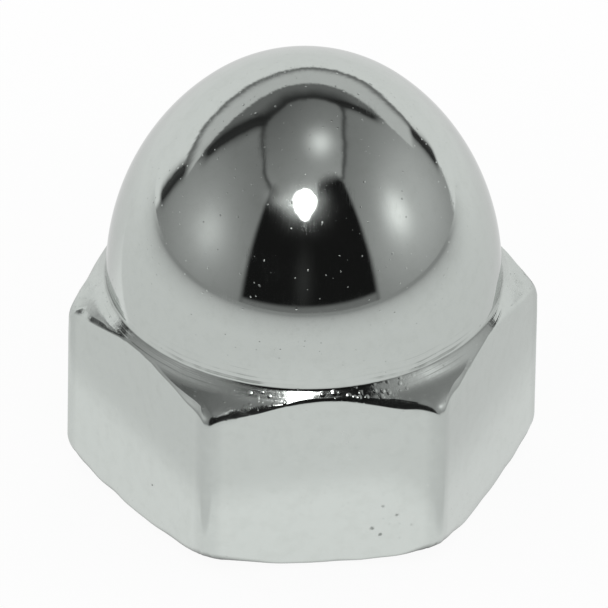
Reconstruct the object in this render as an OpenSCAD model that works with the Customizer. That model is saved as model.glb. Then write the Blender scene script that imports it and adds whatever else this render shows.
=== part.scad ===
// Cap nut, also called an acorn or dome nut, for an M8 thread.
// One turned piece: a hexagon with a cone at each end, a closed dome on top
// and a blind tapped hole from below. The axis is Z. The origin is the centre
// of the bearing face, and two of the flats face -Y and +Y.
// The thread's helix is left out: its bore has the thread's minor diameter.

/* [Hexagon] */
// Distance across the flats, which is the spanner size
across_flats = 13; // [11:0.1:24]
// Height of the hexagon, from the bearing face to the foot of the dome
hex_h = 6.55; // [5:0.05:9]
// Radius of the rounded edge between two flats
corner_r = 0.4; // [0.1:0.05:2]
// How far the edge of the bearing face stands in from the flats
face_step = 0.4; // [0.1:0.05:1.2]
// Slope of the lower cone, in degrees up from the bearing face
lower_slope = 24; // [10:1:40]
// Slope of the upper cone, in degrees down from the foot of the dome
upper_slope = 32; // [10:1:50]
// Radius of the rounding where the upper cone runs out at the hexagon's corners
shoulder_r = 0.5; // [0.2:0.05:1.2]
// Radius of the rounding where the lower cone runs out at the hexagon's corners
heel_r = 0.7; // [0.2:0.05:1.2]

/* [Dome] */
// Overall height of the nut
total_h = 14.35; // [12:0.05:24]
// How far the foot of the dome stands in from the flats
foot_step = 0.25; // [0.1:0.05:1]
// How much taller the dome's curve is than a half ball on the same foot
dome_rise = 1.2; // [0.2:0.05:3]
// How much smaller the radius of the nose is than the radius of the foot
nose_cut = 0.85; // [0.2:0.05:3]

/* [Thread] */
// Nominal diameter of the thread
thread_d = 8; // [5:0.5:10]
// Pitch of the thread
pitch = 1.25; // [0.5:0.05:1.75]
// How far the edge of the countersink stands out from the nominal thread
mouth_step = 0.35; // [0.1:0.05:1]
// Full angle of the countersink
mouth_angle = 90; // [60:5:120]
// Width of the relief groove above the thread
relief_w = 2.5; // [1.8:0.1:5]
// How much deeper than the nominal thread the relief groove is cut
relief_cut = 0.15; // [0.05:0.05:0.5]
// Metal left between the drill's point and the top of the dome
crown_wall = 2; // [1.5:0.1:4]
// Full angle of the drill's point
drill_point = 118; // [90:1:140]

/* [Hidden] */
$fa = 2;
$fs = 0.1;
// Spare length of a cut past the face that it opens
overcut = 1;
// An arc laps by this much over what it blends into, so that the two cross
// cleanly instead of only touching
lap = 0.001;
// The blank's roundings end this far outside the hexagon's corners, so that the
// bar still bounds the nut there
spare = 0.03;

// The hexagon's corner arcs, their centres and the chords behind them
corner_centre = (across_flats / 2 - corner_r + lap) / cos(30);
corner_chord = corner_centre + (corner_r - lap) * cos(30);
corner_reach = across_flats / 2 / cos(30);
// The turned blank reaches past the corners, so the bar alone bounds it there
blank_r = corner_reach + overcut;
face_r = across_flats / 2 - face_step;
foot_r = across_flats / 2 - foot_step;

// Centres of the blank's two roundings, which the slopes of the cones place
bar_reach = corner_centre + corner_r;
shoulder_x = bar_reach + spare - shoulder_r;
shoulder_drop = (shoulder_r - lap) / cos(upper_slope);
shoulder_z = hex_h - (shoulder_x - foot_r) * tan(upper_slope) - shoulder_drop;
heel_x = bar_reach + spare - heel_r;
heel_z = (heel_x - face_r) * tan(lower_slope) + (heel_r - lap) / cos(lower_slope);

// The dome is a straight foot, a side arc that stands upright on it and a nose
// arc. The arcs share a tangent, which fixes the radius of the side arc.
nose_r = foot_r - nose_cut;
nose_z = total_h - nose_r;
side_z = total_h - foot_r - dome_rise;
side_reach = foot_r + lap;
nose_lift = nose_z - side_z;
nose_inner = nose_r - lap;
side_r = (pow(side_reach, 2) + pow(nose_lift, 2) - pow(nose_inner, 2)) / 2 / (side_reach - nose_inner);
join_z = side_z + side_r * nose_lift / (side_r - nose_inner);
// The dome's outline starts inside the hexagon
root_z = min(hex_h, side_z) / 2;

// The basic height of a 60 degree thread is five eighths of its triangle
thread_h = 5 / 8 * pitch * cos(30);
bore_r = thread_d / 2 - thread_h;
mouth_r = thread_d / 2 + mouth_step;
mouth_h = (mouth_r - bore_r) / tan(mouth_angle / 2);
relief_r = thread_d / 2 + relief_cut;
relief_ramp = relief_r - bore_r;
bore_h = total_h - crown_wall - bore_r / tan(drill_point / 2);
thread_top = bore_h - relief_w;

// What is cut from a sharp corner of the hexagon to leave its arc
module corner_waste() {
    difference() {
        translate([corner_chord, -corner_r])
            square([overcut + corner_r, 2 * corner_r]);
        translate([corner_centre, 0])
            circle(corner_r);
    }
}

// The hexagonal bar, with a rounded corner on the X axis and every 60 degrees
module hex_bar() {
    translate([0, 0, -overcut])
        linear_extrude(total_h + 2 * overcut)
            difference() {
                circle(corner_reach, $fn = 6);
                for (turn = [0:60:300])
                    rotate(turn)
                        corner_waste();
            }
}

// What is cut from the blank to leave a rounding about the origin, which runs
// from a cone to the upright. The side is 1 for the upper cone, -1 for the lower.
module rounding_waste(radius, slope, side) {
    far = 2 * (radius + overcut);
    difference() {
        polygon([
            [0, 0],
            [far, 0],
            [far, side * far],
            [far * tan(slope), side * far]
        ]);
        circle(radius);
    }
}

// Half outline of the part that becomes the hexagon, with both cones.
// The upper cone runs on inward under the dome, so the two always meet.
module hexagon_outline() {
    difference() {
        polygon([
            [0, 0],
            [face_r, 0],
            [blank_r, (blank_r - face_r) * tan(lower_slope)],
            [blank_r, hex_h - (blank_r - foot_r) * tan(upper_slope)],
            [0, hex_h + foot_r * tan(upper_slope)]
        ]);
        translate([shoulder_x, shoulder_z])
            rounding_waste(shoulder_r, upper_slope, 1);
        translate([heel_x, heel_z])
            rounding_waste(heel_r, lower_slope, -1);
    }
}

// Half outline of the dome: straight foot, side arc and nose arc
module dome_outline() {
    translate([0, root_z]) {
        square([foot_r, side_z - root_z]);
        intersection() {
            translate([side_reach - side_r, side_z - root_z])
                circle(side_r);
            square([foot_r + overcut, join_z - root_z]);
        }
        intersection() {
            translate([0, nose_z - root_z])
                circle(nose_r);
            square([foot_r, total_h]);
        }
    }
}

// Half outline of the hole: countersink, bore, relief groove and drill point
module bore_outline() {
    polygon([
        [0, -overcut],
        [mouth_r + overcut * tan(mouth_angle / 2), -overcut],
        [bore_r, mouth_h],
        [bore_r, thread_top],
        [relief_r, thread_top + relief_ramp],
        [relief_r, bore_h - relief_ramp],
        [bore_r, bore_h],
        [0, total_h - crown_wall]
    ]);
}

// The whole nut: what the lathe leaves of the bar
module cap_nut() {
    color("silver")
        intersection() {
            hex_bar();
            rotate_extrude()
                difference() {
                    union() {
                        hexagon_outline();
                        dome_outline();
                    }
                    bore_outline();
                }
        }
}

cap_nut();
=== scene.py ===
# A chrome plated cap nut with its M8 thread, on a pale floor in a soft light tent.
# Sizes in the dictionaries are millimetres and degrees.
from math import atan2, cos, degrees, hypot, pi, radians, sin, sqrt, tan

import bmesh
import bpy
from mathutils import Matrix, Quaternion, Vector, noise


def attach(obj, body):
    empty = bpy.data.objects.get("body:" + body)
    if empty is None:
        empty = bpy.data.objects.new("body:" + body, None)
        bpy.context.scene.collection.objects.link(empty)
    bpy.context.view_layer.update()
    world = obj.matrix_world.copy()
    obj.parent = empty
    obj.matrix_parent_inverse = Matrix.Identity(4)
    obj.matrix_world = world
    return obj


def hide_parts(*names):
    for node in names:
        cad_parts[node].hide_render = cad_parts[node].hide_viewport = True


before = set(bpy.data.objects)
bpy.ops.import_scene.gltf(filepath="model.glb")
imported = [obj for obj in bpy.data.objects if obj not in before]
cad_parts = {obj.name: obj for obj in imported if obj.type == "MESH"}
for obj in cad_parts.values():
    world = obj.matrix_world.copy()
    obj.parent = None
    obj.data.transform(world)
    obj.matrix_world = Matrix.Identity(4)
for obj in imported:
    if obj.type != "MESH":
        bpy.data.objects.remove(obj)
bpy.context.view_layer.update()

mm = 0.001
scene = bpy.context.scene
scene.view_settings.view_transform = "Standard"


cameraView = {
    "azimuth": -6.5,
    "elevation": 35.3,
    "roll": 1.0,
    "distance": 643.0,
    "lens": 1200,          # focal length
    "sensor": 36,
    "clip": (10, 10000),
    "aimRight": 0.103,     # from the middle of the bearing face, across the view
    "aimUp": 4.572,        # and up it
}


def placeCamera():
    data = bpy.data.cameras.new("camera")
    data.lens = cameraView["lens"]
    data.sensor_width = cameraView["sensor"]
    data.clip_start, data.clip_end = (distance * mm for distance in cameraView["clip"])
    camera = bpy.data.objects.new("camera", data)
    scene.collection.objects.link(camera)
    turn = radians(cameraView["azimuth"])
    rise = radians(cameraView["elevation"])
    back = Vector((sin(turn) * cos(rise), -cos(turn) * cos(rise), sin(rise)))
    facing = (-back).to_track_quat("-Z", "Y")
    facing = facing @ Quaternion((0, 0, 1), radians(cameraView["roll"]))
    aim = facing @ Vector((cameraView["aimRight"], cameraView["aimUp"], 0)) * mm
    camera.rotation_mode = "QUATERNION"
    camera.rotation_quaternion = facing
    camera.location = aim + back * cameraView["distance"] * mm
    scene.camera = camera


placeCamera()
print("camera placed")


def addNode(tree, kind, **settings):
    node = tree.nodes.new(kind)
    for name, value in settings.items():
        setattr(node, name, value)
    return node


def feed(tree, socket, value):  # a socket is linked, anything else is set
    if isinstance(value, bpy.types.NodeSocket):
        tree.links.new(value, socket)
    elif value is not None:
        socket.default_value = value


def maths(tree, operation, *values):
    node = addNode(tree, "ShaderNodeMath", operation=operation)
    for socket, value in zip(node.inputs, values):
        feed(tree, socket, value)
    return node.outputs[0]


def times(tree, first, second):
    return maths(tree, "MULTIPLY", first, second)


def vectorMaths(tree, operation, *values):
    node = addNode(tree, "ShaderNodeVectorMath", operation=operation)
    for socket, value in zip(node.inputs, values):
        feed(tree, socket, value)
    return node.outputs["Value" if operation in ("DOT_PRODUCT", "LENGTH", "DISTANCE") else "Vector"]


def ramp(tree, value, low, high, bottom=0.0, top=1.0, smooth=True):  # bottom at low, top at high
    if low > high:
        low, high, bottom, top = high, low, top, bottom
    kind = "SMOOTHSTEP" if smooth else "LINEAR"
    node = addNode(tree, "ShaderNodeMapRange", interpolation_type=kind, clamp=True)
    for socket, part in zip(node.inputs, (value, low, high, bottom, top)):
        feed(tree, socket, part)
    return node.outputs[0]


def blendNumbers(tree, share, first, second):
    node = addNode(tree, "ShaderNodeMix", data_type="FLOAT", clamp_factor=True)
    feed(tree, node.inputs[0], share)
    feed(tree, node.inputs[2], first)
    feed(tree, node.inputs[3], second)
    return node.outputs[0]


def blendColours(tree, share, first, second):
    node = addNode(tree, "ShaderNodeMix", data_type="RGBA", clamp_factor=True)
    feed(tree, node.inputs[0], share)
    feed(tree, node.inputs[6], first)
    feed(tree, node.inputs[7], second)
    return node.outputs[2]


def band(tree, value, low, high, soft):  # 1 between low and high, with soft edges
    rising = ramp(tree, value, low - soft, low + soft)
    falling = ramp(tree, value, high - soft, high + soft, 1.0, 0.0)
    return times(tree, rising, falling)


def hump(tree, value, middle, width):  # a bell curve, 1 at the middle
    off = maths(tree, "SUBTRACT", value, middle)
    scaled = maths(tree, "DIVIDE", off, width)
    return maths(tree, "EXPONENT", times(tree, times(tree, scaled, scaled), -1.0))


def noiseOf(tree, vector, scale, detail=2.0, roughness=0.5):
    node = addNode(tree, "ShaderNodeTexNoise")
    feed(tree, node.inputs["Vector"], vector)
    node.inputs["Scale"].default_value = scale
    node.inputs["Detail"].default_value = detail
    node.inputs["Roughness"].default_value = roughness
    return node.outputs[0]


nutSize = {
    "acrossFlats": 13.0,
    "hexHeight": 6.76,      # where the collar meets the dome's foot
    "cornerRadius": 0.41,
    "faceStep": 0.75,       # bearing face's edge, in from the flats
    "lowerSlope": 14,
    "lowerRound": (0.85, 0.8),              # in and up, where a cone runs out at the corners
    "collarSlope": 50,      # a narrow steep ring round the dome's foot
    "collarReach": 0.27,
    "collarEase": (0.8, 0.6, 0.4, 0.2, 0),  # shares of its slope, from it out to the upper cone
    "easeReach": 0.03,      # of each
    "upperSlope": 28.5,
    "upperRound": (0.22, 0.58),
    "height": 14.35,
    "footStep": 0.25,       # dome's foot, in from the flats
    "domeRise": 1.2,
    "noseCut": 0.85,
}
threadSize = {
    "diameter": 8.0,
    "pitch": 1.25,
    "mouthRadius": 4.35,    # countersink, 90 degrees in all
    "reliefRadius": 4.15,
    "reliefWidth": 2.5,
    "crownWall": 2.0,
    "drillPoint": 118,
    "overlap": 0.05,        # of the thread and the groove
    "liningReach": 4.3,     # how far out and up the bare metal of the hole is
    "liningTop": 12.4,
    "liningFall": 0.3,
}
edgeRounds = {              # plating rounds these edges, given as the length it takes on each side
    "upperEdge": 0.08,
    "upperBreak": 53,       # slope at which the upper one starts
    "lowerEdge": 0.16,
    "nearCorners": (1.3, 1.6),    # how much more the lower and the upper are towards a corner
    "cornerPower": 1.5,     # and how near it
    "uneven": 0.7,          # share of it that comes and goes
    "unevenRing": (5, 7),   # the noise for it is read on a ring, by its radius and its height
    "unevenScale": 1.6,
    "steepFade": (1.6, 0.04),     # it fades where the cone runs out
    "most": 0.6,            # of the way in
    "tipRadius": 7.08,      # beyond it, and between the heights, the corners are smoothed
    "tipHeights": (5.2, 6.4),
    "faceEdge": 0.07,
    "mouthEdge": 0.05,
    "footCrease": 0.07,
    "sharpAngle": 18,       # edges steeper than this keep their shading apart
}
meshSteps = {
    "corner": 8,            # columns round one corner's arc
    "flat": 40,             # columns across one flat
    "wall": 8,
    "cone": 14,
    "edge": 5,
    "slope": 8,             # points of an end's section, on each slope and on its rounding
    "rounding": 24,
    "faceArc": 3,
    "creaseArc": 6,
    "sideArc": 30,
    "noseArc": 36,
    "tipPasses": 8,
    "threadFlat": 2,
    "threadFlank": 4,
    "drillCone": 6,
    "bevel": 3,
}
weldDistance = 0.001
fineWeldDistance = 0.0005
loopTolerance = 0.004
asTurned = 9                # section of what stays round, 0 to 4 are pressed to the hexagon
faceRadius = nutSize["acrossFlats"] / 2 - nutSize["faceStep"]
footRadius = nutSize["acrossFlats"] / 2 - nutSize["footStep"]


def weld(bm, distance=weldDistance):
    bmesh.ops.remove_doubles(bm, verts=bm.verts[:], dist=distance * mm)


def lineTo(bm, start, radius, height, steps=1):  # the outline goes on straight from start
    first = start.co.copy()
    last = Vector((radius, 0, height)) * mm
    for step in range(1, steps + 1):
        start = bmesh.ops.extrude_vert_indiv(bm, verts=[start])["verts"][0]
        start.co = first.lerp(last, step / steps)
    return start


def arcTo(bm, start, centreRadius, centreHeight, angle, steps):  # and here on an arc
    centre = Vector((centreRadius, 0, centreHeight)) * mm
    turn = {"axis": (0, -1, 0), "angle": radians(angle)}     # leftwards if above 0
    made = bmesh.ops.spin(bm, geom=[start], cent=centre, steps=steps, **turn)
    return next(part for part in made["geom_last"] if isinstance(part, bmesh.types.BMVert))


def cornerHalf():  # half the angle that a corner's arc takes up, seen from the axis
    radius = nutSize["cornerRadius"]
    centre = (nutSize["acrossFlats"] / 2 - radius) / cos(radians(30))
    return degrees(atan2(radius * sin(radians(30)), centre + radius * cos(radians(30))))


def hexReach(angle):  # from the axis to the hexagon's outline, with its rounded corners, in mm
    half = nutSize["acrossFlats"] / 2
    fromCorner = abs((degrees(angle) + 30) % 60 - 30)
    centre = (half - nutSize["cornerRadius"]) / cos(radians(30))
    if fromCorner < cornerHalf():
        side = centre * sin(radians(fromCorner))
        return centre * cos(radians(fromCorner)) + sqrt(nutSize["cornerRadius"] ** 2 - side ** 2)
    return half / cos(radians(30 - fromCorner))


# section of one end of the hexagon, from inside out
def makeEnd(first, slopes, rounding, upward, edge):
    reach = hexReach(0)
    points = [Vector(first)]
    last = radians(slopes[-1][0])
    turn = atan2(rounding[0] * tan(last), rounding[1])
    for slope, until in slopes:
        begin = points[-1]
        until = until or reach - rounding[0] * (1 - sin(turn))
        for step in range(1, meshSteps["slope"] + 1):
            out = (until - begin.x) * step / meshSteps["slope"]
            points.append(begin + Vector((out, upward * out * tan(radians(slope)))))
    middle = points[-1].y + upward * rounding[1] * cos(turn)
    for step in range(1, meshSteps["rounding"] + 1):
        angle = turn + (pi / 2 - turn) * step / meshSteps["rounding"]
        radius = reach - rounding[0] * (1 - sin(angle))
        points.append(Vector((radius, middle - upward * rounding[1] * cos(angle))))
    ways = [0]
    for before, after in zip(points, points[1:]):
        ways.append(ways[-1] + (after - before).length)
    return {"points": points, "ways": ways, "upward": upward, "edge": edge}


def makeLowerEnd():
    slope = radians(nutSize["lowerSlope"])
    start = Vector((faceRadius, 0)) + edgeRounds["faceEdge"] * Vector((cos(slope), sin(slope)))
    slopes = [(nutSize["lowerSlope"], None)]
    return makeEnd(start, slopes, nutSize["lowerRound"], 1, edgeRounds["lowerEdge"])


def makeUpperEnd():
    slope = radians(nutSize["collarSlope"])
    start = Vector((footRadius, nutSize["hexHeight"]))
    start += edgeRounds["footCrease"] * Vector((cos(slope), -sin(slope)))
    slopes = [(nutSize["collarSlope"], footRadius + nutSize["collarReach"])]
    for share in nutSize["collarEase"]:
        between = nutSize["upperSlope"] + share * (nutSize["collarSlope"] - nutSize["upperSlope"])
        slopes.append((between, slopes[-1][1] + nutSize["easeReach"] if share else None))
    return makeEnd(start, slopes, nutSize["upperRound"], -1, edgeRounds["upperEdge"])


ends = (makeLowerEnd(), makeUpperEnd())


def wayTo(end, wide):  # how long the section is out to the radius wide, and how steep it is there
    last = len(end["points"]) - 1
    number = next((n for n in range(1, last) if end["points"][n].x >= wide), last)
    before, after = end["points"][number - 1:number + 1]
    part = min((wide - before.x) / (after.x - before.x), 1)
    way = end["ways"][number - 1] + part * (after - before).length
    return way, atan2(abs(after.y - before.y), after.x - before.x)


def pointAt(end, way):  # radius and height that far along it
    last = len(end["points"]) - 1
    number = next((n for n in range(1, last) if end["ways"][n] >= way), last)
    before, after = end["points"][number - 1:number + 1]
    return before.lerp(after, (way - end["ways"][number - 1]) / (after - before).length)


def edgeLength(end, angle, steep, way):  # how far the rounded edge reaches from the sharp one
    ring, lift = edgeRounds["unevenRing"]
    place = Vector((ring * cos(angle), ring * sin(angle), lift * end["upward"]))
    swing = 1 + edgeRounds["uneven"] * noise.noise(place * edgeRounds["unevenScale"])
    fromCorner = abs((degrees(angle) + 30) % 60 - 30) / 30
    more = edgeRounds["nearCorners"][0 if end["upward"] > 0 else 1]
    swing *= 1 + more * (1 - fromCorner) ** edgeRounds["cornerPower"]
    gain, least = edgeRounds["steepFade"]
    fade = min((pi / 2 - steep) * gain + least, 1)
    return min(end["edge"] * swing * fade, way * edgeRounds["most"])


def pointOnHex(section, share, angle):  # sections run up: cone, edge, wall, edge and cone
    wide = hexReach(angle)
    end = ends[0] if section < 2 else ends[1]
    way, steep = wayTo(end, wide)
    rim = pointAt(end, way).y
    edge = edgeLength(end, angle, steep, way)
    if section in (0, 4):
        return pointAt(end, share * (way - edge))
    if section in (1, 3):                # share 0 is on the cone, 1 on the wall
        inner = pointAt(end, way - edge)
        corner = Vector((wide, rim))
        if section == 3:                 # it breaks off at once, without a tangent
            fall = max(steep, radians(edgeRounds["upperBreak"]))
            corner.y = inner.y - (wide - inner.x) * tan(fall)
        outer = Vector((wide, rim + end["upward"] * edge))
        return inner.lerp(corner, share).lerp(corner.lerp(outer, share), share)
    lowWay, lowSteep = wayTo(ends[0], wide)
    low = pointAt(ends[0], lowWay).y + edgeLength(ends[0], angle, lowSteep, lowWay)
    high = rim - edge
    return Vector((wide, low + share * (high - low)))


# half the section through a corner, from the bearing face to the top
def drawOutline(bm, section, share):
    noseRadius = footRadius - nutSize["noseCut"]
    noseHeight = nutSize["height"] - noseRadius
    sideHeight = nutSize["height"] - footRadius - nutSize["domeRise"]
    lift = noseHeight - sideHeight
    sideRadius = (footRadius ** 2 + lift ** 2 - noseRadius ** 2) / 2 / (footRadius - noseRadius)
    join = degrees(atan2(lift, sideRadius - footRadius))
    slope = nutSize["lowerSlope"]
    faceArc = edgeRounds["faceEdge"] / tan(radians(slope / 2))
    turn = 90 - nutSize["collarSlope"]
    creaseArc = edgeRounds["footCrease"] / tan(radians(turn / 2))
    creaseTop = nutSize["hexHeight"] + edgeRounds["footCrease"]
    end = bm.verts.new(Vector((faceRadius - edgeRounds["faceEdge"], 0, 0)) * mm)
    end[section] = asTurned
    end = arcTo(bm, end, faceRadius - edgeRounds["faceEdge"], faceArc, slope, meshSteps["faceArc"])
    for number, steps in enumerate(("cone", "edge", "wall", "edge", "cone")):
        for step in range(1, meshSteps[steps] + 1):
            part = step / meshSteps[steps]
            part = 1 - part if number > 2 else part      # the upper end runs inward
            end = lineTo(bm, end, *pointOnHex(number, part, 0))
            end[section] = number
            end[share] = part
    end[section] = asTurned
    end = arcTo(bm, end, footRadius + creaseArc, creaseTop, -turn, meshSteps["creaseArc"])
    end = lineTo(bm, end, footRadius, sideHeight)
    end = arcTo(bm, end, footRadius - sideRadius, sideHeight, join, meshSteps["sideArc"])
    end = arcTo(bm, end, 0, noseHeight, 90 - join, meshSteps["noseArc"])
    end.co.x = 0


def pressFlats(bm, section, share):  # moves the turned wall and cones in to the hexagon
    for vert in bm.verts:
        if vert[section] == asTurned:
            continue
        angle = atan2(vert.co.y, vert.co.x)
        radius, height = pointOnHex(vert[section], vert[share], angle)
        vert.co = Vector((radius * cos(angle), radius * sin(angle), height)) * mm


def wholeOf(bm):
    return bm.verts[:] + bm.edges[:] + bm.faces[:]


def isNearTip(place):  # the top of a corner of the hexagon
    low, high = edgeRounds["tipHeights"]
    return place.xy.length > edgeRounds["tipRadius"] and low < place.z < high


nutAxis = {"cent": (0, 0, 0), "axis": (0, 0, 1)}


def makeOutside(bm):  # one sixth is spun, the rest repeats it round the axis
    section = bm.verts.layers.int.new("section")
    share = bm.verts.layers.float.new("share")
    drawOutline(bm, section, share)
    half = radians(cornerHalf())
    bmesh.ops.rotate(bm, verts=bm.verts[:], cent=(0, 0, 0), matrix=Matrix.Rotation(-half, 3, "Z"))
    steps = meshSteps["corner"]
    corner = bmesh.ops.spin(bm, geom=wholeOf(bm), angle=2 * half, steps=steps, **nutAxis)
    steps = meshSteps["flat"]
    bmesh.ops.spin(bm, geom=corner["geom_last"], angle=pi / 3 - 2 * half, steps=steps, **nutAxis)
    bmesh.ops.spin(bm, geom=wholeOf(bm), angle=pi * 5 / 3, steps=5, use_duplicate=True, **nutAxis)
    pressFlats(bm, section, share)
    weld(bm)
    tips = [vert for vert in bm.verts if isNearTip(vert.co / mm)]
    ways = {"use_axis_x": True, "use_axis_y": True, "use_axis_z": True}
    for again in range(meshSteps["tipPasses"]):
        bmesh.ops.smooth_vert(bm, verts=tips, factor=0.5, **ways)
    bm.verts.layers.int.remove(section)
    bm.verts.layers.float.remove(bm.verts.layers.float["share"])


nominalRadius = threadSize["diameter"] / 2
threadDepth = 5 / 8 * threadSize["pitch"] * cos(radians(30))     # of a 60 degree thread
minorRadius = nominalRadius - threadDepth
boreDeep = nutSize["height"] - threadSize["crownWall"]
boreTop = boreDeep - minorRadius / tan(radians(threadSize["drillPoint"] / 2))
grooveRamp = threadSize["reliefRadius"] - minorRadius
grooveLow = boreTop - threadSize["reliefWidth"]
grooveHigh = grooveLow + grooveRamp + threadSize["overlap"]
boreColumns = 6 * (meshSteps["corner"] + meshSteps["flat"])


def windThread(bm):  # the helix, from below the nut up into the groove
    pitch = threadSize["pitch"]
    flank = threadDepth * tan(radians(30))
    crest = pitch / 4
    root = pitch / 8
    flat = meshSteps["threadFlat"]
    slant = meshSteps["threadFlank"]
    height = -2 * pitch
    end = bm.verts.new(Vector((minorRadius, 0, height)) * mm)
    while height < grooveHigh + pitch:
        end = lineTo(bm, end, minorRadius, height + crest, flat)
        end = lineTo(bm, end, nominalRadius, height + crest + flank, slant)
        end = lineTo(bm, end, nominalRadius, height + crest + root + flank, flat)
        end = lineTo(bm, end, minorRadius, height + pitch, slant)
        height += pitch
    climb = (0, 0, pitch / boreColumns * mm)
    bmesh.ops.spin(bm, geom=wholeOf(bm), angle=2 * pi, steps=boreColumns, dvec=climb, **nutAxis)


def cutThreadOff(bm):  # at the bearing face, in the countersink and in the groove
    for vert in bm.verts:
        if vert.co.z < threadSize["overlap"] * mm:
            vert.co.z = 0
        if vert.co.z > (grooveHigh - threadSize["overlap"]) * mm:
            vert.co.z = grooveHigh * mm
        was = hypot(vert.co.x, vert.co.y)
        mouth = threadSize["mouthRadius"] * mm - vert.co.z
        groove = vert.co.z - (grooveLow - minorRadius) * mm
        wide = max(was, mouth, min(groove, threadSize["reliefRadius"] * mm))
        vert.co.x *= wide / was
        vert.co.y *= wide / was


def makeBore():  # threaded hole with its relief groove and drill point, in a mesh of its own
    bm = bmesh.new()
    windThread(bm)
    cutThreadOff(bm)
    weld(bm)
    drilled = bmesh.new()
    end = drilled.verts.new(Vector((threadSize["reliefRadius"], 0, grooveHigh)) * mm)
    end = lineTo(drilled, end, threadSize["reliefRadius"], boreTop - grooveRamp, meshSteps["threadFlat"])
    end = lineTo(drilled, end, minorRadius, boreTop, meshSteps["threadFlank"])
    end = lineTo(drilled, end, 0, boreDeep, meshSteps["drillCone"])
    whole = wholeOf(drilled)
    bmesh.ops.spin(drilled, geom=whole, angle=2 * pi, steps=boreColumns, use_merge=True, **nutAxis)
    addTo(bm, drilled)
    weld(bm)
    bmesh.ops.recalc_face_normals(bm, faces=bm.faces[:])
    bmesh.ops.reverse_faces(bm, faces=bm.faces[:])     # a hole faces its axis
    return bm


def addTo(bm, other):
    mesh = bpy.data.meshes.new("spare")
    other.to_mesh(mesh)
    other.free()
    bm.from_mesh(mesh)
    bpy.data.meshes.remove(mesh)


def ringAt(bm, radius, height):  # the edges of one round loop
    def on(vert):
        off = max(abs(hypot(vert.co.x, vert.co.y) - radius * mm), abs(vert.co.z - height * mm))
        return off < loopTolerance * mm
    return [edge for edge in bm.edges if on(edge.verts[0]) and on(edge.verts[1])]


def roundEdge(bm, edges, width):
    bmesh.ops.bevel(bm, geom=edges, offset=width * mm, offset_type="OFFSET", segments=meshSteps["bevel"],
                    profile=0.5, affect="EDGES", material=-1, clamp_overlap=True)


def isInHole(place):  # within the countersink's rounded edge and up to the drill's point
    radius = hypot(place.x, place.y)
    top = threadSize["liningTop"] - threadSize["liningFall"] * radius
    return radius < threadSize["liningReach"] and place.z < top


def makeNut():
    bm = bmesh.new()
    makeOutside(bm)
    bmesh.ops.recalc_face_normals(bm, faces=bm.faces[:])
    addTo(bm, makeBore())
    outer = ringAt(bm, faceRadius - edgeRounds["faceEdge"], 0)
    inner = ringAt(bm, threadSize["mouthRadius"], 0)
    bmesh.ops.bridge_loops(bm, edges=outer + inner)
    bmesh.ops.recalc_face_normals(bm, faces=bm.faces[:])
    roundEdge(bm, ringAt(bm, threadSize["mouthRadius"], 0), edgeRounds["mouthEdge"])
    weld(bm, fineWeldDistance)
    bmesh.ops.recalc_face_normals(bm, faces=bm.faces[:])
    for face in bm.faces:
        face.smooth = True
        face.material_index = 1 if isInHole(face.calc_center_median() / mm) else 0
    mesh = bpy.data.meshes.new("capNut")
    bm.to_mesh(mesh)
    bm.free()
    mesh.set_sharp_from_angle(angle=radians(edgeRounds["sharpAngle"]))
    nut = bpy.data.objects.new("capNut", mesh)
    scene.collection.objects.link(nut)
    evenShading = nut.modifiers.new("evenShading", "WEIGHTED_NORMAL")
    evenShading.keep_sharp = True
    return nut


nut = makeNut()
print("nut made:", len(nut.data.polygons), "faces")


floorLook = {
    "size": 3000,
    "drop": 0.01,            # below the bearing face
    "whiteShare": 0.93,      # of the floor's own glow near the nut, the rest is lit and takes the shadow
    "shadowSpan": (12, 40),  # from the middle out to where all of it glows
    "lit": (0.97, 0.975, 0.97, 1),
    "inMetalFront": 0.80,    # how bright the floor is painted, as the metal sees it
    "inMetalBack": 0.95,
    "inMetalFar": 0.33,
    "backSpan": (-0.1, 0.95),     # from the front to the back, as the sine of the way behind
    "fade": (40, 330),       # distances over which the front goes over to the far brightness
    "fadeSpan": (0.0, 0.6),
    # a painted glow on the floor in front of the nut
    "paintedFrontGlow": {"at": (1, -14), "size": 9, "gain": 0.08},
    # a painted bright patch round the nut, standing in for light that the nut throws on the floor: the way
    # each side faces, its distance and its softness
    "patchSides": [(-139.1, 8.93, 0.5), (-23.8, 8.2, 0.8), (-90, 10.95, 0.9)],
    "patchSpan": (0.3, 0.6),
    "patchGain": 1.21,
    "shadeBehindNut": (12, 70, 0.12),  # painted shade behind the nut: from, to and how much darker
    "contact": 0.35,         # painted shadow right under the nut's edge
    "contactSpan": (-0.5, 0.35),  # where that painted shadow runs, out from the flats
}
tentTurn = cameraView["azimuth"]


def paintedPatchOnFloor(tree, turned):  # the painted bright patch, inside all of its sides
    inside = 1.0
    for facing, reach, soft in floorLook["patchSides"]:
        outward = (cos(radians(facing)) / mm, sin(radians(facing)) / mm, 0)
        out = vectorMaths(tree, "DOT_PRODUCT", turned, outward)
        inside = times(tree, inside, ramp(tree, out, reach - soft, reach + soft, 1.0, 0.0))
    return inside


def paintedShadowUnderNut(tree, place):  # painted shadow, darkest where the nut stands
    half = nutSize["acrossFlats"] / 2
    nearest = 0.0
    for turn in (0, 60, 120):
        outward = (sin(radians(turn)) / mm, cos(radians(turn)) / mm, 0)
        out = maths(tree, "ABSOLUTE", vectorMaths(tree, "DOT_PRODUCT", place, outward))
        nearest = maths(tree, "MAXIMUM", nearest, out)
    inner, outer = floorLook["contactSpan"]
    return ramp(tree, nearest, half + inner, half + outer, floorLook["contact"], 1.0)


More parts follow.
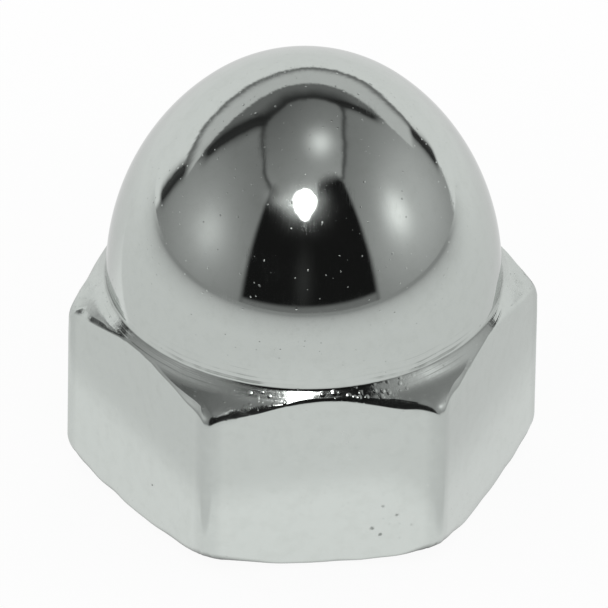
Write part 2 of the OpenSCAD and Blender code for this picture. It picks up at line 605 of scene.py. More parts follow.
def paintedFloorInMetal(tree, place, away):  # painted light and shade of the floor, where the metal reflects it
    look = floorLook
    turned = addNode(tree, "ShaderNodeVectorRotate", rotation_type="Z_AXIS")
    feed(tree, turned.inputs["Vector"], place)
    turned.inputs["Angle"].default_value = -radians(tentTurn)
    parts = addNode(tree, "ShaderNodeSeparateXYZ")
    feed(tree, parts.inputs[0], turned.outputs[0])
    behind = maths(tree, "DIVIDE", parts.outputs["Y"], maths(tree, "ADD", away, mm))
    back = ramp(tree, behind, *look["backSpan"])
    near = blendNumbers(tree, back, look["inMetalFront"], look["inMetalBack"])
    first, last = (sqrt(distance * mm) for distance in look["fade"])
    fade = ramp(tree, maths(tree, "SQRT", away), first, last, smooth=False)
    fade = times(tree, fade, ramp(tree, behind, *look["fadeSpan"], 1.0, 0.0))
    shade = blendNumbers(tree, fade, near, look["inMetalFar"])

    # painted light: a glow in front of the nut and a bright patch round it
    spot = look["paintedFrontGlow"]
    off = vectorMaths(tree, "DISTANCE", turned.outputs[0], (spot["at"][0] * mm, spot["at"][1] * mm, 0))
    gain = times(tree, hump(tree, off, 0, spot["size"] * mm), spot["gain"])
    patch = paintedPatchOnFloor(tree, turned.outputs[0])
    patch = times(tree, patch, ramp(tree, behind, *look["patchSpan"], 1.0, 0.0))
    gain = maths(tree, "MULTIPLY_ADD", patch, look["patchGain"] - 1, gain)
    # painted shade behind the nut
    first, last, darker = look["shadeBehindNut"]
    darker = times(tree, ramp(tree, away, first * mm, last * mm, darker, 0.0), back)
    gain = maths(tree, "SUBTRACT", maths(tree, "ADD", gain, 1.0), darker)
    return times(tree, times(tree, shade, gain), paintedShadowUnderNut(tree, place))


def mixShaders(tree, share, first, second):
    node = addNode(tree, "ShaderNodeMixShader")
    feed(tree, node.inputs[0], share)
    tree.links.new(first.outputs[0], node.inputs[1])
    tree.links.new(second.outputs[0], node.inputs[2])
    return node


def floorMaterial():
    material = bpy.data.materials.new("paleFloor")
    material.use_nodes = True
    tree = material.node_tree
    tree.nodes.clear()
    place = addNode(tree, "ShaderNodeTexCoord").outputs["Object"]
    away = vectorMaths(tree, "LENGTH", place)
    lit = addNode(tree, "ShaderNodeBsdfDiffuse")
    lit.inputs["Color"].default_value = floorLook["lit"]
    glow = addNode(tree, "ShaderNodeEmission")
    first, last = floorLook["shadowSpan"]
    own = mixShaders(tree, ramp(tree, away, first * mm, last * mm, floorLook["whiteShare"], 1.0), lit, glow)
    # the floor's painted light and shade, which only glossy and transmission rays see
    seen = addNode(tree, "ShaderNodeEmission")
    feed(tree, seen.inputs["Strength"], paintedFloorInMetal(tree, place, away))
    path = addNode(tree, "ShaderNodeLightPath")
    inMetal = maths(tree, "MAXIMUM", path.outputs["Is Glossy Ray"], path.outputs["Is Transmission Ray"])
    either = mixShaders(tree, inMetal, own, seen)
    tree.links.new(either.outputs[0], addNode(tree, "ShaderNodeOutputMaterial").inputs[0])
    return material


def makeFloor():
    bm = bmesh.new()
    bmesh.ops.create_grid(bm, x_segments=1, y_segments=1, size=floorLook["size"] / 2 * mm)
    bmesh.ops.translate(bm, verts=bm.verts[:], vec=(0, 0, -floorLook["drop"] * mm))
    mesh = bpy.data.meshes.new("floor")
    bm.to_mesh(mesh)
    bm.free()
    floor = bpy.data.objects.new("floor", mesh)
    scene.collection.objects.link(floor)
    mesh.materials.append(floorMaterial())


makeFloor()
print("floor laid")


# The tent as the metal sees it, in degrees round from the camera's side and up from
# the horizon. The lists run along its edges and seams.
tent = {
    "tone": 0.8,             # of the whole tent, which the camera sees as plain white
    "roofLine": [
        (-180, 57.5), (-165, 58), (-150, 61.5), (-130, 62.5), (-115, 63), (-95, 64), (-80, 63.5),
        (-65, 61), (-54, 56.5), (-45, 53), (-37, 50), (-29, 48.5), (-12, 44), (9, 46), (14, 53),
        (19, 57), (38, 57.5), (44, 55), (50, 57.5), (60, 61.5), (75, 65.5), (92, 67), (106, 67.5),
        (120, 65.5), (135, 61), (150, 56), (165, 56), (180, 57),
    ],
    "paleTop": [
        (-180, 43), (-165, 44), (-150, 45), (-137, 44), (-126, 40.5), (-117, 35), (-110, 28.5),
        (-104, 19), (-96, 1), (110, 1), (117, 26), (121, 32), (129, 38), (140, 40.5), (150, 41.7),
        (165, 42), (180, 43),
    ],
    "sweepTop": [
        (-180, 23), (-165, 27), (-150, 28), (-138, 26), (-127, 21.5), (-117, 17.5), (-109, 15.5),
        (-104, 14), (-100, 1), (103, 0), (114, 4), (122, 9), (127, 15), (134, 20), (146, 23.5),
        (160, 22.5), (180, 23),
    ],
    "leftSlit": [
        (0, -110.5), (9, -110.5), (17, -109.5), (26, -105.5), (38, -109.5), (50, -116.5),
        (60, -126), (90, -130),
    ],
    "rightSlit": [
        (0, 112), (9, 122.5), (17, 125.5), (24, 128), (42, 131), (47, 137), (52, 147), (57, 156),
        (90, 160),
    ],
    "slitSoft": 2,
    "slitGaps": [(3, 17, 26), (9, 21, 40)],  # left and right: low part from and to, foot of the high part
    "gapWidths": (4.2, 4.5, 11),  # of the low part, and of the high one at its foot and its head
    "gapHead": 60,
    "gapSoft": 1.5,
    "gapStart": (-3, 6),     # of the high part, from its foot
    "gapDepth": (1.3, 0.96),  # how strong they are, and the most that they take away
    "gapGlow": 0.03,
    "leftEdge": -36,
    "rightEdge": 43.5,
    "edgeSoft": 2.2,
    "wall": 0.30,
    "wallFoot": (15, 18),    # lower than this the side walls cover the pale cloth
    "wallFootRight": 6.0,    # and this much higher on the right
    "middleSoft": 1,         # either side of the middle, where left goes over to right
    "roof": (0.26, 0.42),    # at its left and its right
    "roofSides": (-0.4, 0.25),
    "roofAhead": 0.22,       # more of it towards the camera
    "roofSoft": (-1.5, 2.0),
    "roofFront": 0.35,       # and how much softer its edge is at the open front
    "seam": (0.68, 0.15),    # the dark line round the roof, and at the open front
    "seamWidth": 1.8,
    "seamGlow": 0.03,
    "dark": 0.013,
    "darkFold": {"at": (0, 14), "size": (5, 12), "glow": 0.03},
    "pale": 0.80,
    "paleSides": (103, 106),
    "paleSoft": 1.2,
    "sweep": 1.16,
    "sweepSoft": (-1.6, 1),
    "sweepLine": {"over": 1.6, "width": 3.4, "share": 0.95, "glow": 0.24},
    "backBand": (0.22, 0.06),    # from the pale cloth up to the roof
    "backSpan": (-12, -1),
    "lip": 0.26,
    "lipSpan": (1.4, 3.6),
    "lipTilt": -0.015,
    "lamps": [
        {"at": (-67, 19), "size": (12, 9), "glow": 0.32},
        {"at": (-72, 17), "size": (34, 22), "glow": 0.30},
        {"at": (72, 25.5), "size": (9.5, 8.5), "glow": 0.80},
        {"at": (86, 20), "size": (42, 26), "glow": 0.46},
    ],
    "roofLamp": {"at": (0.15, 0.05), "size": (0.13, 0.17), "glow": 0.75},
    "flash": 9.0,
    "flashSides": [
        (40, 0), (41, 3), (43, 5), (45, 8), (47, 10.5), (50, 11.5), (52, 9.5), (53.3, 6),
        (54.3, 2.5), (54.7, 0),
    ],
    "flashSpan": (35, 60),
    "flashSoft": (-2.0, 3.5),
    "flashTips": 3.0,        # it is dimmer where it is narrower than this
    "flashGlows": [
        {"at": (-1, 47.5), "size": (15, 7), "glow": 0.8},
        {"at": (-23, 46.5), "size": (12, 3.0), "glow": 0.42},
        {"at": (16, 49.5), "size": (7, 4), "glow": 0.15},
    ],
    "folds": 3.0,            # how far the cloth's folds push the seams, degrees in all
    "foldScale": 9,
    "fibres": 3.4,           # and its fibres
    "fibreScale": (0.7, 0.12),    # round and up
    "leastRise": 0.001,      # keeps the places on the roof finite at the horizon
}


def curveOver(tree, value, points, low=-180, high=180, top=90):  # reads a list of pairs as a curve
    node = addNode(tree, "ShaderNodeFloatCurve")
    feed(tree, node.inputs["Value"], ramp(tree, value, low, high, smooth=False))
    curve = node.mapping.curves[0]
    last = len(points) - 1
    for number, (along, out) in enumerate(points):
        at = ((along - low) / (high - low), (out + 180) / 360 if top == 180 else out / top)
        if number in (0, last):
            curve.points[-1 if number else 0].location = at
        else:
            curve.points.new(*at)
    node.mapping.update()
    if top == 180:
        return maths(tree, "MULTIPLY_ADD", node.outputs[0], 360, -180)
    return times(tree, node.outputs[0], top)


def overCurve(tree, rise, azimuth, name):  # degrees above one of the tent's lines
    return maths(tree, "SUBTRACT", rise, curveOver(tree, azimuth, tent[name]))


def pastSlit(tree, azimuth, rise, name):  # degrees to the right of one of its slits
    return maths(tree, "SUBTRACT", azimuth, curveOver(tree, rise, tent[name], 0, 90, 180))


def patchOf(tree, across, up, facts):  # a soft round patch of light
    first = hump(tree, across, facts["at"][0], facts["size"][0])
    second = hump(tree, up, facts["at"][1], facts["size"][1])
    return times(tree, times(tree, first, second), facts["glow"])


def readSky(tree):  # where a ray goes, in degrees, as the cloth's folds shift it, and on the roof
    heading = addNode(tree, "ShaderNodeVectorRotate", rotation_type="Z_AXIS")
    feed(tree, heading.inputs["Vector"], addNode(tree, "ShaderNodeTexCoord").outputs["Generated"])
    heading.inputs["Angle"].default_value = -radians(tentTurn)
    parts = addNode(tree, "ShaderNodeSeparateXYZ")
    feed(tree, parts.inputs[0], heading.outputs[0])
    right = parts.outputs["X"]
    towards = times(tree, parts.outputs["Y"], -1.0)
    upward = maths(tree, "MAXIMUM", parts.outputs["Z"], tent["leastRise"])
    azimuth = maths(tree, "DEGREES", maths(tree, "ARCTAN2", right, towards))
    rise = maths(tree, "DEGREES", maths(tree, "ARCSINE", parts.outputs["Z"]))
    strands = addNode(tree, "ShaderNodeCombineXYZ")
    for number, value in enumerate((azimuth, rise)):
        feed(tree, strands.inputs[number], times(tree, value, tent["fibreScale"][number]))
    folds = maths(tree, "SUBTRACT", noiseOf(tree, heading.outputs[0], tent["foldScale"], 4), 0.5)
    fibres = maths(tree, "SUBTRACT", noiseOf(tree, strands.outputs[0], 1), 0.5)
    push = times(tree, folds, tent["folds"])
    rough = maths(tree, "ADD", rise, push)
    roughAzimuth = maths(tree, "ADD", azimuth, push)
    return {
        "azimuth": azimuth,
        "rise": rise,
        "rough": rough,
        "roughAzimuth": roughAzimuth,
        "frayed": maths(tree, "ADD", rough, times(tree, fibres, tent["fibres"])),
        "across": maths(tree, "DIVIDE", right, upward),
        "ahead": maths(tree, "DIVIDE", towards, upward),
        "overRoof": overCurve(tree, rough, azimuth, "roofLine"),
        "pastSlits": [pastSlit(tree, roughAzimuth, rise, name) for name in ("leftSlit", "rightSlit")],
        "front": band(tree, azimuth, tent["leftEdge"], tent["rightEdge"], tent["edgeSoft"]),
    }


def lightWalls(tree, sky):  # with a lamp behind each
    light = tent["wall"]
    for lamp in tent["lamps"]:
        light = maths(tree, "ADD", light, patchOf(tree, sky["azimuth"], sky["rise"], lamp))
    return light


def lightBack(tree, sky, light):  # a dark band, a pale one and the sweep's paper, from the top down
    soft = tent["slitSoft"]
    pastLeft, pastRight = sky["pastSlits"]
    back = maths(tree, "MAXIMUM", ramp(tree, pastLeft, -soft, soft, 1, 0), ramp(tree, pastRight, -soft, soft))
    dark = ramp(tree, sky["overRoof"], *tent["backSpan"], *tent["backBand"])
    light = blendNumbers(tree, back, light, dark)
    onRight = ramp(tree, sky["azimuth"], -tent["middleSoft"], tent["middleSoft"])
    low = maths(tree, "MULTIPLY_ADD", onRight, -tent["wallFootRight"], sky["rise"])
    low = ramp(tree, low, *tent["wallFoot"], 1, 0)
    beside = times(tree, low, maths(tree, "SUBTRACT", 1.0, back))
    overPale = overCurve(tree, sky["frayed"], sky["azimuth"], "paleTop")
    overSweep = overCurve(tree, sky["frayed"], sky["azimuth"], "sweepTop")
    pale = times(tree, ramp(tree, overPale, -tent["paleSoft"], tent["paleSoft"], 1, 0),
                 ramp(tree, maths(tree, "ABSOLUTE", sky["azimuth"]), *tent["paleSides"]))
    pale = times(tree, pale, maths(tree, "SUBTRACT", 1.0, beside))
    light = blendNumbers(tree, pale, light, tent["pale"])
    line = tent["sweepLine"]
    share = times(tree, times(tree, hump(tree, overSweep, line["over"], line["width"]), pale), line["share"])
    light = blendNumbers(tree, share, light, line["glow"])
    sweep = times(tree, ramp(tree, overSweep, *tent["sweepSoft"], 1, 0), back)
    return blendNumbers(tree, sweep, light, tent["sweep"])


def lightGaps(tree, sky, light):  # the dark gaps beside the back, wider at the top
    rise = sky["rise"]
    lowWidth, footWidth, headWidth = tent["gapWidths"]
    for past, (foot, top, head) in zip(sky["pastSlits"], tent["slitGaps"]):
        low = times(tree, band(tree, rise, foot, top, tent["gapSoft"]), hump(tree, past, 0, lowWidth))
        width = ramp(tree, rise, head, tent["gapHead"], footWidth, headWidth)
        start, full = tent["gapStart"]
        high = times(tree, ramp(tree, rise, head + start, head + full),
                     hump(tree, maths(tree, "DIVIDE", past, width), 0, 1))
        gap = times(tree, maths(tree, "MAXIMUM", low, high), tent["gapDepth"][0])
        gap = maths(tree, "MINIMUM", gap, tent["gapDepth"][1])
        light = blendNumbers(tree, gap, light, tent["gapGlow"])
    return light


def lightFront(tree, sky, light):  # the open front, with the floor's far edge low in it
    fold = patchOf(tree, sky["azimuth"], sky["rise"], tent["darkFold"])
    light = blendNumbers(tree, sky["front"], light, maths(tree, "ADD", fold, tent["dark"]))
    height = maths(tree, "MULTIPLY_ADD", sky["azimuth"], tent["lipTilt"], sky["rise"])
    lip = times(tree, ramp(tree, height, *tent["lipSpan"], 1, 0), sky["front"])
    return blendNumbers(tree, lip, light, tent["lip"])


def lightRoof(tree, sky, light):  # and the dark seam round it
    roof = ramp(tree, sky["across"], *tent["roofSides"], *tent["roof"])
    roof = maths(tree, "MULTIPLY_ADD", sky["ahead"], tent["roofAhead"], roof)
    roof = maths(tree, "ADD", roof, patchOf(tree, sky["across"], sky["ahead"], tent["roofLamp"]))
    softer = times(tree, sky["overRoof"], ramp(tree, sky["front"], 0, 1, 1.0, tent["roofFront"]))
    light = blendNumbers(tree, ramp(tree, softer, *tent["roofSoft"]), light, roof)
    seam = hump(tree, sky["overRoof"], 0, tent["seamWidth"])
    seam = times(tree, seam, ramp(tree, sky["front"], 0, 1, *tent["seam"]))
    return blendNumbers(tree, seam, light, tent["seamGlow"])


def lightFlash(tree, sky, light):  # over the camera, pointed at its foot, and the glow round it
    side = curveOver(tree, sky["rough"], tent["flashSides"], *tent["flashSpan"])
    inside = maths(tree, "SUBTRACT", side, maths(tree, "ABSOLUTE", sky["roughAzimuth"]))
    core = times(tree, ramp(tree, inside, *tent["flashSoft"]), ramp(tree, side, 0.0, tent["flashTips"]))
    light = maths(tree, "MULTIPLY_ADD", core, tent["flash"], light)
    for glow in tent["flashGlows"]:
        light = maths(tree, "ADD", light, patchOf(tree, sky["azimuth"], sky["frayed"], glow))
    return light


def makeWorld():
    world = bpy.data.worlds.new("lightTent")
    scene.world = world
    world.use_nodes = True
    tree = world.node_tree
    tree.nodes.clear()
    sky = readSky(tree)
    light = lightWalls(tree, sky)
    for addLight in (lightBack, lightGaps, lightFront, lightRoof, lightFlash):
        light = addLight(tree, sky, light)
    path = addNode(tree, "ShaderNodeLightPath")
    surround = addNode(tree, "ShaderNodeBackground")
    tone = blendNumbers(tree, path.outputs["Is Camera Ray"], tent["tone"], 1.0)
    feed(tree, surround.inputs["Color"], tone)
    feed(tree, surround.inputs["Strength"], blendNumbers(tree, path.outputs["Is Glossy Ray"], 1.0, light))
    tree.links.new(surround.outputs[0], addNode(tree, "ShaderNodeOutputWorld").inputs[0])


makeWorld()
print("tent lit")


plateLook = {
    "colour": (0.59, 0.625, 0.60, 1),
    "stain": (0.50, 0.53, 0.50, 1),
    "stainSpan": (0.42, 0.75, 0, 0.25),
    # for the pits, the streaks on the dome's foot and the painted shade in the crease
    "pitAndShadeColour": (0.10, 0.11, 0.10, 1),
    "edgeTint": (0.85, 0.85, 0.85, 1),
    # painted shade on the flats towards the corners
    "cornerShadeColour": (0.53, 0.562, 0.54, 1),
    "domeRoughness": 0.045,
    "flatRoughness": 0.13,
    "coneRoughness": 0.07,
    "tipRoughness": 0.15,    # added on the upper cone towards the corners
    "faceRoughness": 0.20,
    "beadRoughness": 0.1,    # these are added where the marks are
    "pitRoughness": 0.3,
    "scratchRoughness": 0.1,
    "roughnessSpread": (0.8, 1.25),
    "domeWaves": 0.0004,     # heights, in mm
    "flatWaves": 0.0005,
    "coneWaves": 0.0012,
    "coneGrit": 0.0026,
    "coneRings": 0.0002,
    "footRings": 0.0100,
    "collarRings": 0.0080,
    "faceRings": 0.0030,
    "grains": 0.0060,
    "beads": 0.0110,         # specks on the upper cone
    "pits": 0.006,
    "scratches": 0.00008,
    "creaseShade": 0.30,           # painted shade in the crease round the dome
    "beaded": ((0.0, -6.3, 6.7), 3.4),      # most beads are round this place, within this reach
    "strayBeads": 0.05,      # how high the others are, as a share
    "pitted": [((2.15, -6.5, 1.75), 0.85), ((-5.07, -4.21, 1.74), 0.3)],
    "fullReach": 0.6,        # share of a reach up to which all of the marks show
    "dots": {                # cells to the mm, a dot's radius in mm, share of the cells with one
        "lonePits": (0.42, 0.07, 0.25),
        "manyPits": (3.4, 0.10, 0.75),
        "fineGrains": (4.2, 0.045, 0.6),
        "coarseGrains": (1.6, 0.075, 0.4),
        "beads": (4.6, 0.13, 0.75),
    },
    "dotSizes": (0.4, 1.0),  # shares of the radius, between which the dots differ
    "dotEdge": (0.2, 1.0),   # where a dot falls off, as a share of its own radius
    "noises": {              # scale, detail and roughness
        "Waves": (1.4, 3, 0.45),
        "Grit": (9, 2, 0.5),
        "Mottle": (2.2, 6, 0.65),
    },
    "jitter": (9, 0.08),     # how fine and how far the pits' outlines wander
    "scratchRuns": [         # how each set is turned, and how much finer it is across
        ((0.3, 0.9, 0.2), (22, 1.1, 1.1)),
        ((1.1, 0.2, 2.0), (30, 1.6, 0.9)),
    ],
    "scratchNoise": (0.5, 3),     # scale and detail of their paths
    "scratchWidth": 0.008,
    "scratchPlaces": (0.8, 2),    # scale and detail of where they are
    "scratchSpan": (0.5, 0.62),
    "crossRings": (0.08, 1.0),    # how much of the foot's rings shows amid a flat and at a corner
    "creaseShadeNoise": (1.1, 4),
    "creaseShadeSpan": (0.35, 0.6, 0.2),        # its noise from and to, and the least of it
    "cornerShadeSpan": (0.3, 0.6, 0.7, 1.0),     # mottle from and to, and what shows of the painted shade at the corners
    "streakSpan": (-0.02, 0.2),   # part of a ring's swing over which its dark streak comes in
    "streakShare": 0.5,
    "pitShare": 0.8,
}
zoneEdges = {                # where each zone of the plating fades in
    "domeFoot": (-0.06, 0.02),    # over the hexagon
    "domeRadius": (6.3, 6.26),
    "footRings": (0.1, 0.8),      # over the hexagon
    "footCorners": (-0.7, 0.5),   # nearness to a corner, from -1 to 1
    "coneTop": (-0.28, -0.18),    # under the slope through the dome's foot
    "collar": (6.36, 6.60),
    "lowerCone": (0.02, 0.08),    # over its slope
    "face": (0.01, 0.03),         # over the bearing face
    "tips": (-0.4, 0.9),
    "cornerShade": (0.90, 1.0),
    "creaseRadius": (6.4, 6.3),
    "crease": (-0.02, 0.05),      # middle of its painted shade over the hexagon, and its width
}
holeLook = {
    "colour": (0.36, 0.37, 0.36, 1),
    "oil": (0.16, 0.15, 0.13, 1),
    "oilSpan": (0.45, 0.62),
    "oilHeights": (2, 11, 0.2, 0.8),        # more of it towards the top
    "roughness": 0.30,
    "roughnessSpread": (0.7, 1.4),
    "rings": 0.004,          # heights, in mm
    "waves": 0.004,
    "pits": 0.01,
}
ringLook = {
    "lines": ((6.5, 1.2), (19.0, 0.8)),     # broad and fine ones: lines to the mm, and their share
    "wander": 0.22,          # in mm
    "wanderNoise": (0.5, 1),
    "brokenNoise": (0.9, 2),
    "brokenSpan": (0.38, 0.62, 0.15, 1.0),  # that noise from and to, and what shows of the rings
}
mottleSpan = (0.3, 0.7)


def startGroup(name, takes, gives):  # an effect that more than one material uses
    tree = bpy.data.node_groups.new(name, "ShaderNodeTree")
    for title, kind in takes.items():
        tree.interface.new_socket(title, in_out="INPUT", socket_type="NodeSocket" + kind)
    for title in gives:
        tree.interface.new_socket(title, in_out="OUTPUT", socket_type="NodeSocketFloat")
    return tree, addNode(tree, "NodeGroupInput").outputs, addNode(tree, "NodeGroupOutput").inputs


def dotsOf(tree, vector, scale, radius, keep):  # round spots, a share of the cells has one
    cells = addNode(tree, "ShaderNodeTexVoronoi")
    feed(tree, cells.inputs["Vector"], vector)
    cells.inputs["Scale"].default_value = scale
    chance = addNode(tree, "ShaderNodeSeparateColor")
    feed(tree, chance.inputs[0], cells.outputs["Color"])
    size = ramp(tree, chance.outputs[1], 0, 1, *plateLook["dotSizes"], smooth=False)
    size = times(tree, size, radius * scale)
    near = maths(tree, "DIVIDE", cells.outputs["Distance"], size)
    here = maths(tree, "LESS_THAN", chance.outputs[0], keep)
    return times(tree, ramp(tree, near, *plateLook["dotEdge"], 1.0, 0.0), here)


def pitsOf(tree, place):  # a few lone ones, and many in the pitted places
    fineness, reach = plateLook["jitter"]
    jitter = addNode(tree, "ShaderNodeTexNoise")
    feed(tree, jitter.inputs["Vector"], place)
    jitter.inputs["Scale"].default_value = fineness
    bent = vectorMaths(tree, "MULTIPLY_ADD", jitter.outputs["Color"], (reach, reach, reach), place)
    cluster = 0.0
    for middle, reach in plateLook["pitted"]:
        off = vectorMaths(tree, "DISTANCE", bent, middle)
        inside = ramp(tree, off, reach * plateLook["fullReach"], reach, 1.0, 0.0)
        cluster = maths(tree, "MAXIMUM", cluster, inside)
    many = times(tree, dotsOf(tree, bent, *plateLook["dots"]["manyPits"]), cluster)
    return maths(tree, "MAXIMUM", dotsOf(tree, bent, *plateLook["dots"]["lonePits"]), many)


def beadsOf(tree, place):
    middle, reach = plateLook["beaded"]
    off = vectorMaths(tree, "DISTANCE", place, middle)
    beaded = ramp(tree, off, reach * plateLook["fullReach"], reach, 1.0, plateLook["strayBeads"])
    return times(tree, dotsOf(tree, place, *plateLook["dots"]["beads"]), beaded)


def scratchesOf(tree, place):  # fine lines, in some places only
    lines = 0.0
    for turn, stretch in plateLook["scratchRuns"]:
        held = addNode(tree, "ShaderNodeMapping")
        feed(tree, held.inputs["Vector"], place)
        held.inputs["Rotation"].default_value = turn
        held.inputs["Scale"].default_value = stretch
        path = noiseOf(tree, held.outputs[0], *plateLook["scratchNoise"])
        lines = maths(tree, "MAXIMUM", lines, hump(tree, path, 0.5, plateLook["scratchWidth"]))
    here = noiseOf(tree, place, *plateLook["scratchPlaces"])
    return times(tree, lines, ramp(tree, here, *plateLook["scratchSpan"]))


def wearGroup():  # pits, grains, beads, hairline scratches and slow waves, from a place in mm
    gives = ("Pits", "Grains", "Beads", "Scratches", "Waves", "Grit", "Mottle")
    tree, given, result = startGroup("plateWear", {"Place": "Vector"}, gives)
    place = given["Place"]
    fine = dotsOf(tree, place, *plateLook["dots"]["fineGrains"])
    coarse = dotsOf(tree, place, *plateLook["dots"]["coarseGrains"])
    feed(tree, result["Pits"], pitsOf(tree, place))
    feed(tree, result["Grains"], maths(tree, "MAXIMUM", fine, coarse))
    feed(tree, result["Beads"], beadsOf(tree, place))
    feed(tree, result["Scratches"], scratchesOf(tree, place))
    for name, facts in plateLook["noises"].items():
        value = noiseOf(tree, place, *facts)
        feed(tree, result[name], value if name == "Mottle" else maths(tree, "SUBTRACT", value, 0.5))
    return tree


def ringGroup():  # fine rings left by a cutting tool, across the way given in mm
    tree, given, result = startGroup("toolRings", {"Way": "Float", "Place": "Vector"}, ("Rings",))
    wander = times(tree, noiseOf(tree, given["Place"], *ringLook["wanderNoise"]), ringLook["wander"])
    way = maths(tree, "ADD", given["Way"], wander)
    total = 0.0
    for scale, share in ringLook["lines"]:
        lines = addNode(tree, "ShaderNodeTexNoise", noise_dimensions="1D")
        feed(tree, lines.inputs["W"], way)
        lines.inputs["Scale"].default_value = scale
        lines.inputs["Detail"].default_value = 1
        swing = maths(tree, "SUBTRACT", lines.outputs[0], 0.5)
        total = maths(tree, "MULTIPLY_ADD", swing, share, total)
    broken = noiseOf(tree, given["Place"], *ringLook["brokenNoise"])
    feed(tree, result["Rings"], times(tree, total, ramp(tree, broken, *ringLook["brokenSpan"])))
    return tree


def startMaterial(name):  # gives the place in mm, its parts and its radius, and the shader to feed
    material = bpy.data.materials.new(name)
    material.use_nodes = True
    tree = material.node_tree
    place = addNode(tree, "ShaderNodeVectorMath", operation="SCALE")
    feed(tree, place.inputs[0], addNode(tree, "ShaderNodeTexCoord").outputs["Object"])
    place.inputs["Scale"].default_value = 1 / mm
    parts = addNode(tree, "ShaderNodeSeparateXYZ")
    feed(tree, parts.inputs[0], place.outputs[0])
    flatPlace = addNode(tree, "ShaderNodeCombineXYZ")
    feed(tree, flatPlace.inputs[0], parts.outputs["X"])
    feed(tree, flatPlace.inputs[1], parts.outputs["Y"])
    radius = vectorMaths(tree, "LENGTH", flatPlace.outputs[0])
    shader = tree.nodes["Principled BSDF"]
    shader.inputs["Metallic"].default_value = 1
    return material, tree, shader, place.outputs[0], parts.outputs, radius


def useGroup(tree, group, **links):
    node = addNode(tree, "ShaderNodeGroup")
    node.node_tree = group
    for name, value in links.items():
        feed(tree, node.inputs[name], value)
    return node.outputs


def sumOf(tree, *pairs):  # values times their weights, added up
    total = 0.0
    for value, weight in pairs:
        total = maths(tree, "MULTIPLY_ADD", value, weight, total)
    return total


def raiseMarks(tree, shader, relief):
    bump = addNode(tree, "ShaderNodeBump")
    bump.inputs["Distance"].default_value = mm
    feed(tree, bump.inputs["Height"], relief)
    feed(tree, shader.inputs["Normal"], bump.outputs[0])


def spanAt(tree, value, name, base=0.0, *shares):  # a zone's soft edge, its limits given from base
    low, high = zoneEdges[name]
    return ramp(tree, value, base + low, base + high, *shares)


def zonesOf(tree, height, radius):  # dome, upper cone with its collar, flats, lower cone with the face
    foot = nutSize["hexHeight"]
    upperSlant = tan(radians(nutSize["upperSlope"]))
    lowerSlant = tan(radians(nutSize["lowerSlope"]))
    dome = times(tree, spanAt(tree, height, "domeFoot", foot), spanAt(tree, radius, "domeRadius"))
    slant = maths(tree, "MULTIPLY_ADD", radius, upperSlant, height)
    cone = times(tree, spanAt(tree, slant, "coneTop", foot + footRadius * upperSlant),
                 maths(tree, "SUBTRACT", 1.0, dome))
    slant = maths(tree, "MULTIPLY_ADD", radius, -lowerSlant, height)
    face = spanAt(tree, slant, "lowerCone", -faceRadius * lowerSlant, 1.0, 0.0)
    face = maths(tree, "MAXIMUM", face, spanAt(tree, height, "face", 0.0, 1.0, 0.0))
    rest = maths(tree, "MAXIMUM", dome, maths(tree, "MAXIMUM", cone, face))
    return dome, cone, maths(tree, "SUBTRACT", 1.0, rest), face


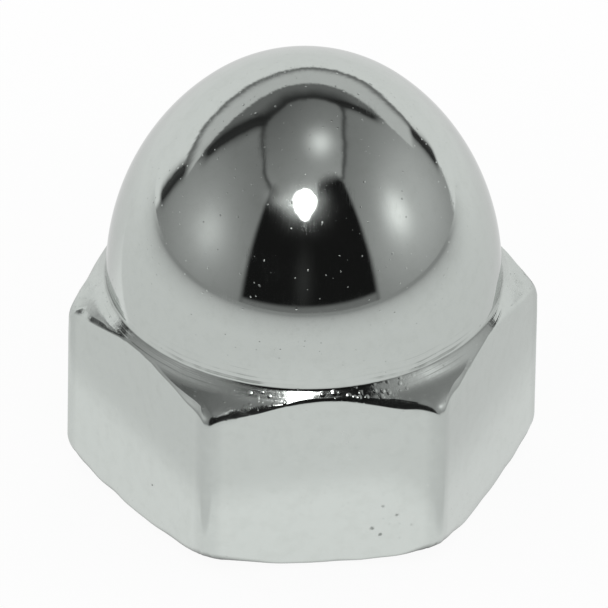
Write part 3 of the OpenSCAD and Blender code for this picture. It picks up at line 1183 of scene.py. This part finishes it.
def plateMaterial(wear, rings):
    look = plateLook
    material, tree, shader, place, parts, radius = startMaterial("chromePlate")
    height = parts["Z"]
    foot = nutSize["hexHeight"]
    marks = useGroup(tree, wear, Place=place)
    dome, cone, flat, face = zonesOf(tree, height, radius)
    collar = times(tree, cone, spanAt(tree, radius, "collar", 0.0, 1.0, 0.0))
    angle = maths(tree, "ARCTAN2", parts["Y"], parts["X"])
    corners = maths(tree, "COSINE", times(tree, angle, 6.0))      # 1 at a corner, -1 amid a flat

    # turned rings show on the dome's foot where the corners are
    nearFoot = times(tree, dome, spanAt(tree, height, "footRings", foot, 1.0, 0.0))
    nearFoot = times(tree, nearFoot, spanAt(tree, corners, "footCorners", 0.0, *look["crossRings"]))
    way = maths(tree, "SUBTRACT", radius, height)
    tool = useGroup(tree, rings, Way=way, Place=place)["Rings"]
    waves = sumOf(tree, (dome, look["domeWaves"]), (flat, look["flatWaves"]), (cone, look["coneWaves"]))
    ringing = sumOf(tree, (nearFoot, look["footRings"]), (collar, look["collarRings"]),
                    (face, look["faceRings"]), (cone, look["coneRings"]))
    raiseMarks(tree, shader, sumOf(
        tree, (marks["Waves"], waves), (tool, ringing), (marks["Grains"], look["grains"]),
        (marks["Beads"], times(tree, cone, look["beads"])),
        (marks["Pits"], -look["pits"]), (marks["Scratches"], -look["scratches"]),
        (marks["Grit"], times(tree, cone, look["coneGrit"]))))

    nearTips = times(tree, cone, spanAt(tree, corners, "tips"))
    roughness = sumOf(
        tree, (dome, look["domeRoughness"]), (flat, look["flatRoughness"]), (cone, look["coneRoughness"]),
        (nearTips, look["tipRoughness"]), (face, look["faceRoughness"]),
        (marks["Beads"], look["beadRoughness"]), (marks["Pits"], look["pitRoughness"]),
        (marks["Scratches"], look["scratchRoughness"]))
    spread = ramp(tree, marks["Mottle"], *mottleSpan, *look["roughnessSpread"], smooth=False)
    feed(tree, shader.inputs["Roughness"], times(tree, roughness, spread))

    stained = ramp(tree, marks["Mottle"], *look["stainSpan"])
    colour = blendColours(tree, stained, look["colour"], look["stain"])
    # painted shade in the crease round the dome's foot, in patches
    middle, width = zoneEdges["crease"]
    crease = times(tree, hump(tree, height, foot + middle, width), spanAt(tree, radius, "creaseRadius"))
    some = ramp(tree, noiseOf(tree, place, *look["creaseShadeNoise"]), *look["creaseShadeSpan"], look["creaseShade"])
    colour = blendColours(tree, times(tree, crease, some), colour, look["pitAndShadeColour"])
    # painted shade: the flats darker towards the corners, in patches
    cornerShade = times(tree, spanAt(tree, corners, "cornerShade"), flat)
    cornerShade = times(tree, cornerShade, ramp(tree, marks["Mottle"], *look["cornerShadeSpan"]))
    colour = blendColours(tree, cornerShade, colour, look["cornerShadeColour"])
    streaks = times(tree, ramp(tree, tool, *look["streakSpan"]), times(tree, nearFoot, look["streakShare"]))
    colour = blendColours(tree, streaks, colour, look["pitAndShadeColour"])
    colour = blendColours(tree, times(tree, marks["Pits"], look["pitShare"]), colour, look["pitAndShadeColour"])
    feed(tree, shader.inputs["Base Color"], colour)
    shader.inputs["Specular Tint"].default_value = look["edgeTint"]
    return material


def holeMaterial(wear, rings):
    look = holeLook
    material, tree, shader, place, parts, radius = startMaterial("cutThread")
    marks = useGroup(tree, wear, Place=place)
    tool = useGroup(tree, rings, Way=parts["Z"], Place=place)["Rings"]
    raiseMarks(tree, shader, sumOf(
        tree, (tool, look["rings"]), (marks["Waves"], look["waves"]), (marks["Pits"], -look["pits"])))
    oily = times(tree, ramp(tree, marks["Mottle"], *look["oilSpan"]),
                 ramp(tree, parts["Z"], *look["oilHeights"], smooth=False))
    feed(tree, shader.inputs["Base Color"], blendColours(tree, oily, look["colour"], look["oil"]))
    spread = ramp(tree, marks["Mottle"], *mottleSpan, *look["roughnessSpread"], smooth=False)
    feed(tree, shader.inputs["Roughness"], times(tree, spread, look["roughness"]))
    return material


wear = wearGroup()
rings = ringGroup()
nut.data.materials.append(plateMaterial(wear, rings))
nut.data.materials.append(holeMaterial(wear, rings))
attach(nut, "root")
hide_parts("cap_nut")
print("nut finished")
